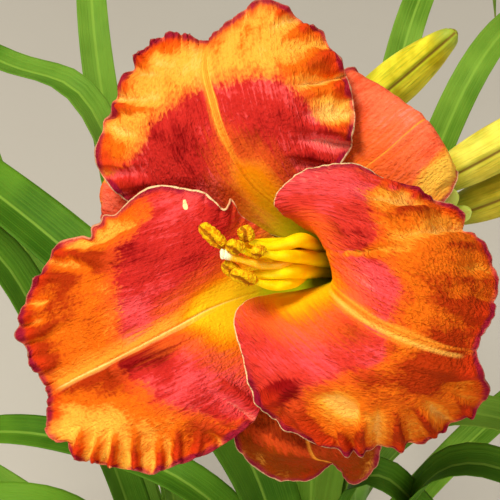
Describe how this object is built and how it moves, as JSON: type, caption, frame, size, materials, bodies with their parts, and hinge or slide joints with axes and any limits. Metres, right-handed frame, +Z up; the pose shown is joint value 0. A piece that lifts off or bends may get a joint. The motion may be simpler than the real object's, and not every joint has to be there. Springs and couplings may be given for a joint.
{
  "type": "potted daylily plant",
  "caption": "Flowering daylily with a ruffled bloom, buds on a branched stem and arching strap leaves, standing in a plain clay pot.",
  "frame": {"origin": "centre of the pot's flat underside", "axes": "+Z up; the bloom faces forward and up, towards -Y and +Z"},
  "size_m": [0.612, 0.6746, 0.6387],
  "materials": {
    "terracotta": "unglazed fired clay, matt, with faint lime bloom",
    "potting_soil": "dark crumbly compost",
    "leaf": "smooth green blade with fine parallel veins, satin",
    "stem": "smooth pale green, satin",
    "floral_tube": "smooth yellow-green, satin",
    "bud": "smooth yellow-green with fine lengthwise veins, satin",
    "petal": "crepe petal, orange with a crimson eye zone, yellow throat and midrib, dark ruffled edge with a pale rim",
    "sepal": "coral red petal-like sepal with a golden edge",
    "stamen": "yellow filament, anther dusted with orange pollen",
    "pistil": "pale yellow style with a white stigma"
  },
  "bodies": {
    "root": {"pot": "terracotta", "soil": "potting_soil", "leaf_fan_back_left": "leaf", "leaf_fan_front_left": "leaf", "leaf_fan_front_right": "leaf", "leaf_fan_back_right": "leaf", "scape": "stem", "floral_tube": "floral_tube", "bud_1": "bud", "bud_2": "bud", "bud_3": "bud", "petal_left": "petal", "petal_top": "petal", "petal_right": "petal", "sepal_right": "sepal", "sepal_lower": "sepal", "sepal_left": "sepal", "stamen_1": "stamen", "stamen_2": "stamen", "stamen_3": "stamen", "stamen_4": "stamen", "stamen_5": "stamen", "stamen_6": "stamen", "pistil": "pistil"}
  },
  "joints": []
}
